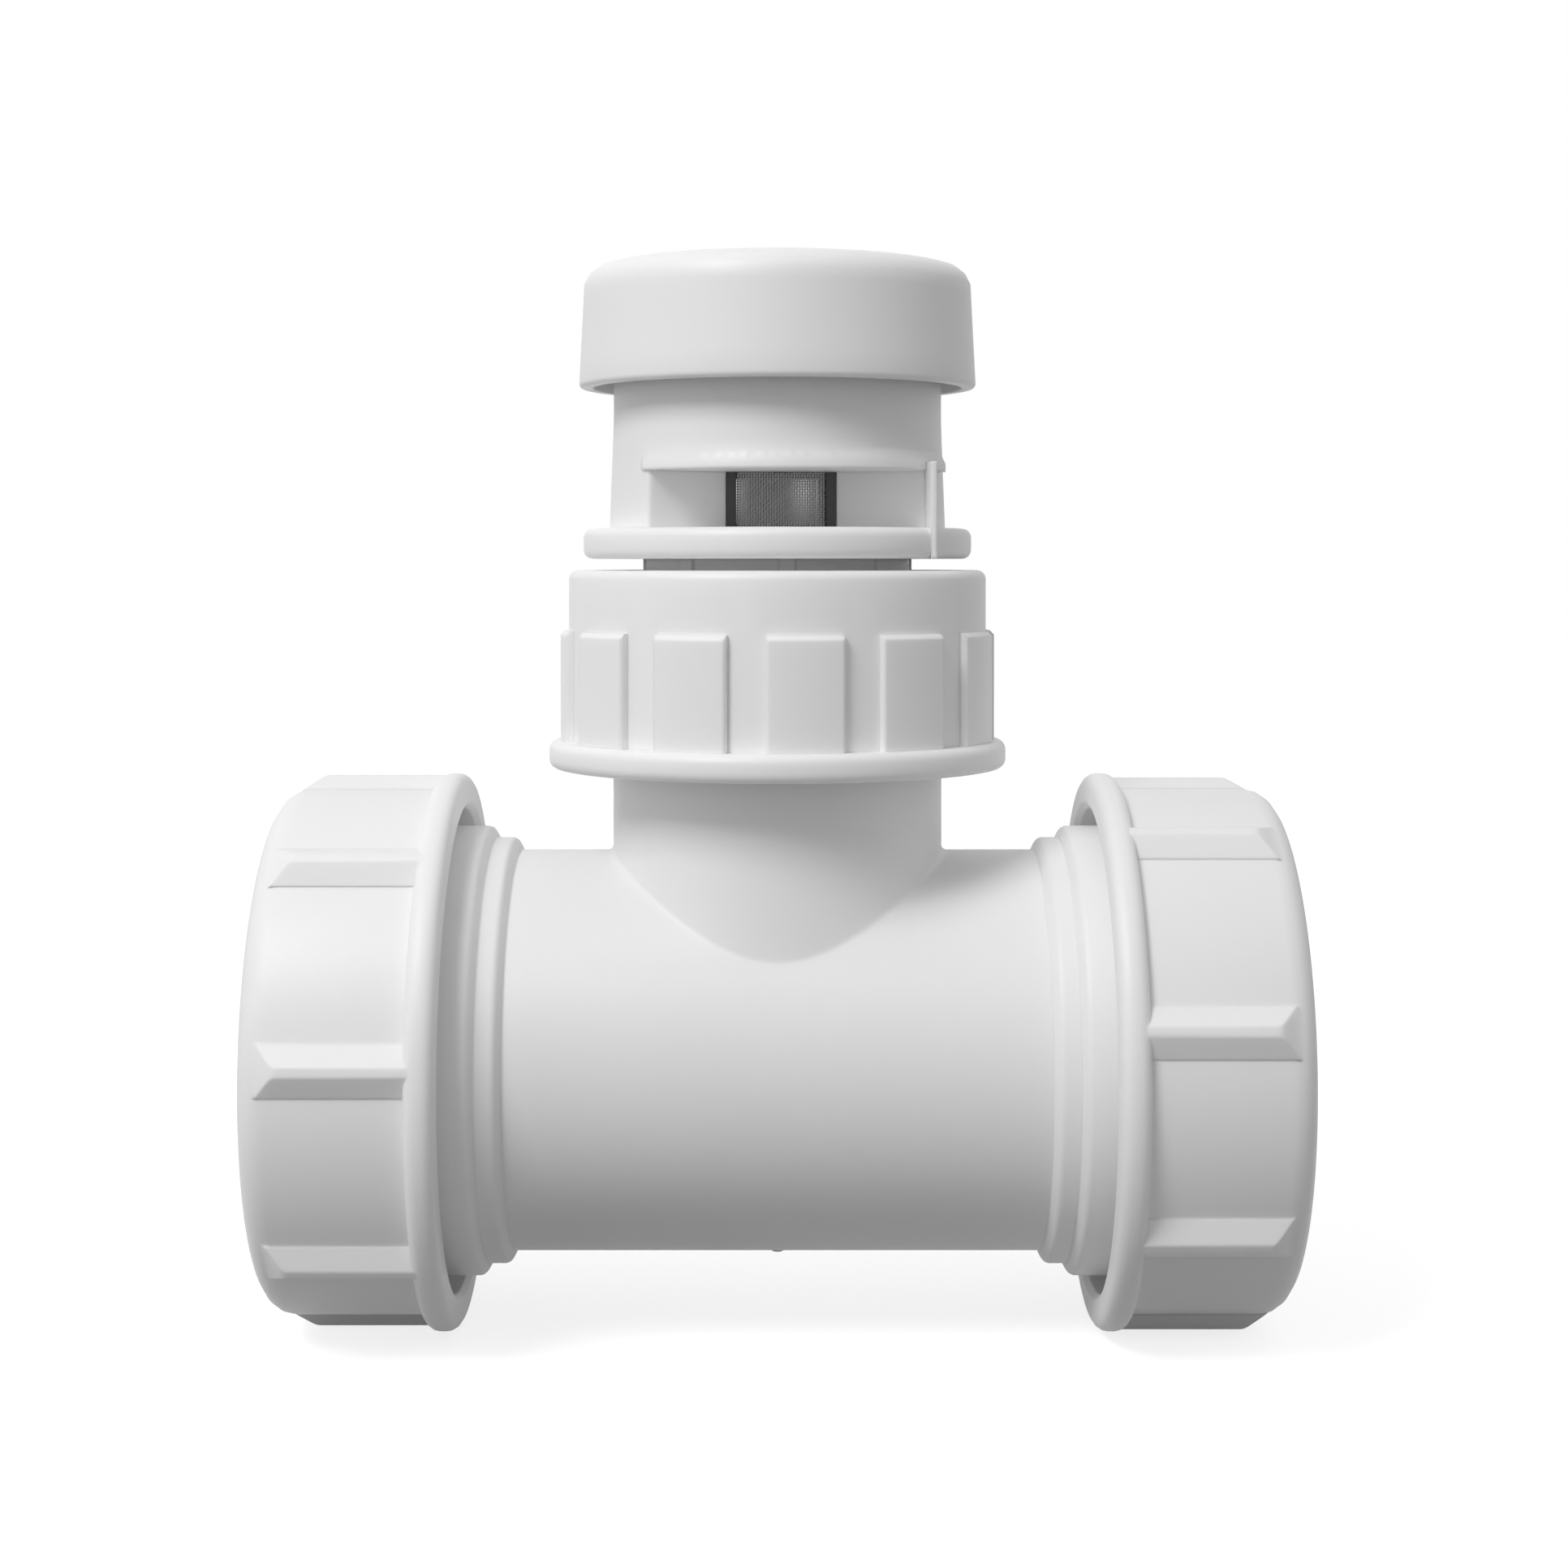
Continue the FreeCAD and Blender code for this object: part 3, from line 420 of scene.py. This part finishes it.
# %% Thread ridges
def thread_ridge(name, wall_r, crest_r, root_half, crest_half, start, pitch, from_turn, to_turn):
    """One wound ridge about Z, in mm. It stands on wall_r and reaches crest_r, inwards or outwards."""
    outward = 1 if crest_r > wall_r else -1
    foot_r = wall_r - outward * SUNK
    section = [(foot_r, -root_half), (wall_r, -root_half), (crest_r, -crest_half),
               (crest_r, crest_half), (wall_r, root_half), (foot_r, root_half)]
    bm = bmesh.new()
    last = bm.faces.new([bm.verts.new((r * MM, 0, (start + z) * MM)) for r, z in section])
    turns = to_turn - from_turn
    steps = round(turns * STEPS_PER_TURN)
    rise = Vector((0, 0, pitch * from_turn * MM))
    first_turn = Matrix.Rotation(math.tau * from_turn, 3, "Z")
    bmesh.ops.translate(bm, verts=bm.verts, vec=rise)
    bmesh.ops.rotate(bm, verts=bm.verts, cent=(0, 0, 0), matrix=first_turn)
    rings = [bm.verts[:]]
    step_turn = Matrix.Rotation(math.tau * turns / steps, 3, "Z")
    step_rise = Vector((0, 0, pitch * turns / steps * MM))
    for _ in range(steps):
        made = bmesh.ops.extrude_face_region(bm, geom=[last])["geom"]
        ring = [g for g in made if isinstance(g, bmesh.types.BMVert)]
        last = [g for g in made if isinstance(g, bmesh.types.BMFace)][0]
        bmesh.ops.rotate(bm, verts=ring, cent=(0, 0, 0), matrix=step_turn)
        bmesh.ops.translate(bm, verts=ring, vec=step_rise)
        rings.append(ring)
    sink_ends(rings, foot_r, outward)
    bmesh.ops.recalc_face_normals(bm, faces=bm.faces[:])
    mesh = finished_mesh(bm, name)
    mesh.shade_smooth()
    mesh.materials.append(white_polypropylene)
    ridge = add_object(name, mesh)
    keep_corners(ridge)
    print(name, "turns", round(turns, 2), "faces", len(mesh.polygons))
    return ridge


def lay_on_run(ridge, side):
    """Turns a ridge built along +Z so that it points to +X (side 1) or -X (side -1), in its mesh."""
    ridge.data.transform(Matrix.Rotation(side * math.pi / 2, 4, "Y"))
    return ridge


# %% [markdown]
# On the run the ridge rises 1.75 mm with a 4 mm pitch, and on the branch 1.4 mm with a 3 mm pitch.
# The nut's own ridge starts half a pitch further along, so the two lie in each other's gaps and pass
# freely as the nut turns. The radii are those of the socket's plain wall and of the nut's bore.

# %% Threads of the run
RUN_THREAD = {"root_half": 1.3, "crest_half": 0.4, "pitch": 4.0}
RUN_THREAD_HEIGHT = 1.75
RUN_THREAD_START = 37.9
RUN_SOCKET_R = 25.1
RUN_NUT_BORE_R = 27.15

for side, end, nut_body in ((1, "right", "right_nut"), (-1, "left", "left_nut")):
    outer = thread_ridge(
        "tee_thread_" + end, RUN_SOCKET_R, RUN_SOCKET_R + RUN_THREAD_HEIGHT,
        start=RUN_THREAD_START, from_turn=0.0, to_turn=1.7, **RUN_THREAD)
    inner = thread_ridge(
        "run_nut_thread_" + end, RUN_NUT_BORE_R, RUN_NUT_BORE_R - RUN_THREAD_HEIGHT,
        start=RUN_THREAD_START + RUN_THREAD["pitch"] / 2, from_turn=-0.45, to_turn=1.25, **RUN_THREAD)
    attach(lay_on_run(outer, side), "fitting")
    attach(lay_on_run(inner, side), nut_body)

# %% [markdown]
# The branch already points along Z, so its two ridges stay as they are built.

# %% Threads of the branch
BRANCH_THREAD = {"root_half": 1.0, "crest_half": 0.3, "pitch": 3.0}
BRANCH_THREAD_HEIGHT = 1.4
BRANCH_THREAD_START = 35.6
BRANCH_SOCKET_R = 20.0
BRANCH_NUT_BORE_R = 21.7

branch_outer = thread_ridge(
    "tee_thread_branch", BRANCH_SOCKET_R, BRANCH_SOCKET_R + BRANCH_THREAD_HEIGHT,
    start=BRANCH_THREAD_START, from_turn=0.0, to_turn=3.1, **BRANCH_THREAD)
branch_inner = thread_ridge(
    "branch_nut_thread", BRANCH_NUT_BORE_R, BRANCH_NUT_BORE_R - BRANCH_THREAD_HEIGHT,
    start=BRANCH_THREAD_START + BRANCH_THREAD["pitch"] / 2, from_turn=-0.9, to_turn=2.5,
    **BRANCH_THREAD)
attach(branch_outer, "fitting")
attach(branch_inner, "top_nut")

# %% [markdown]
# The photo is taken level with the valve's waist, about 30 cm away, with the lens shifted down so
# that upright lines stay upright. A level camera with a vertical shift repeats that.

# %% Camera
FOCAL_PIXELS = 3268.4
FRAME_PIXELS = 1932
HORIZON_ROW = 691.8
CENTRE_COLUMN = 957.9
SENSOR_MM = 36
CAMERA_DISTANCE = 0.3021
CAMERA_HEIGHT = 0.0553

lens = bpy.data.cameras.new("camera")
camera = add_object("camera", lens)
camera.location = (0, -CAMERA_DISTANCE, CAMERA_HEIGHT)
camera.rotation_euler = (math.pi / 2, 0, 0)
lens.sensor_width = SENSOR_MM
lens.lens = SENSOR_MM * FOCAL_PIXELS / FRAME_PIXELS
lens.shift_x = (FRAME_PIXELS / 2 - CENTRE_COLUMN) / FRAME_PIXELS
lens.shift_y = (HORIZON_ROW - FRAME_PIXELS / 2) / FRAME_PIXELS
lens.clip_start = 0.01
bpy.context.scene.camera = camera
print("lens", round(lens.lens, 2), "mm, shift", round(lens.shift_x, 4), round(lens.shift_y, 4))

# %% [markdown]
# The floor is a plain pale sheet under the nuts. To the camera it looks white and still takes the
# object's soft shadow. For all other light it is a mid grey, so the underside of the white tee stays
# readable. The Light Path node tells the two apart, and reflections and clear plastic count as the
# camera's own view.

# %% Floor
FLOOR_SIZE = 1.6
FLOOR_GLOW = 1.56
GLOW_SHARE = 0.5


def background_ray(tree):
    """1 for rays that show the background: straight, mirrored or through something clear."""
    ray = add_node(tree, "ShaderNodeLightPath")
    mirrored = add_node(tree, "ShaderNodeMath", [("operation", "MAXIMUM")],
                        [(0, ray.outputs["Is Camera Ray"]), (1, ray.outputs["Is Glossy Ray"])])
    clear = add_node(tree, "ShaderNodeMath", [("operation", "MAXIMUM")],
                     [(0, mirrored.outputs[0]), (1, ray.outputs["Is Transmission Ray"])])
    return clear.outputs[0]


bm = bmesh.new()
bmesh.ops.create_grid(bm, x_segments=1, y_segments=1, size=FLOOR_SIZE)
floor_z = cad_box[0][2]
bmesh.ops.translate(bm, verts=bm.verts, vec=(0, 0, floor_z))
floor_mesh = finished_mesh(bm, "floor")
floor = add_object("floor", floor_mesh)

paper = bpy.data.materials.new("matt studio paper")
tree = empty_tree(paper)
seen = background_ray(tree)
shaded = add_node(tree, "ShaderNodeBsdfDiffuse", [("Color", linear("FFFFFF"))])
glow = add_node(tree, "ShaderNodeEmission", [("Color", linear("FFFFFF")), ("Strength", FLOOR_GLOW)])
bright = add_node(tree, "ShaderNodeMixShader", [(0, GLOW_SHARE)],
                  [(1, shaded.outputs[0]), (2, glow.outputs[0])])
bounce = add_node(tree, "ShaderNodeBsdfDiffuse", [("Color", linear("8C8C8C"))])
both = add_node(tree, "ShaderNodeMixShader",
                links=[(0, seen), (1, bounce.outputs[0]), (2, bright.outputs[0])])
add_node(tree, "ShaderNodeOutputMaterial", links=[("Surface", both.outputs[0])])
floor_mesh.materials.append(paper)
print("floor at", round(floor_z * 1000, 2), "mm")

# %% [markdown]
# White plastic shows its shape only through shade, so the light must come mostly from one side. A
# soft lamp stands high on the left in front, a weak one grazes the left flank, and the world adds an
# even pale glow. To the camera the world is plain white. Light that enters a narrow gap between white
# walls bounces many times before it comes out again, so more bounces are allowed than usual, or such
# gaps would look too dark.

# %% Light
WORLD_WHITE = 1.0
WORLD_GLOW = 0.46
DIFFUSE_BOUNCES = 12
ALL_BOUNCES = 16


def soft_lamp(name, place, target, size, power):
    """A square area lamp at a place, turned to a target. Sizes are in metres, power in watts."""
    lamp = bpy.data.lights.new(name, "AREA")
    lamp.shape = "SQUARE"
    lamp.size = size
    lamp.energy = power
    holder = add_object(name, lamp)
    holder.location = place
    aim = Vector(target) - Vector(place)
    holder.rotation_euler = aim.to_track_quat("-Z", "Y").to_euler()


tee_middle = (0, 0, 0.02)
soft_lamp("key lamp", (-0.45, -0.6, 0.75), tee_middle, size=0.35, power=5.7)
soft_lamp("side lamp", (-0.95, -0.35, 0.15), tee_middle, size=0.6, power=0.6)

world = bpy.data.worlds.new("studio")
bpy.context.scene.world = world
tree = empty_tree(world)
seen = background_ray(tree)
white = add_node(tree, "ShaderNodeBackground",
                 [("Color", linear("FFFFFF")), ("Strength", WORLD_WHITE)])
glow = add_node(tree, "ShaderNodeBackground",
                [("Color", linear("FFFFFF")), ("Strength", WORLD_GLOW)])
both = add_node(tree, "ShaderNodeMixShader",
                links=[(0, seen), (1, glow.outputs[0]), (2, white.outputs[0])])
add_node(tree, "ShaderNodeOutputWorld", links=[("Surface", both.outputs[0])])
bpy.context.scene.view_settings.view_transform = "Standard"
bpy.context.scene.cycles.diffuse_bounces = DIFFUSE_BOUNCES
bpy.context.scene.cycles.max_bounces = ALL_BOUNCES
print("lamps and world set")
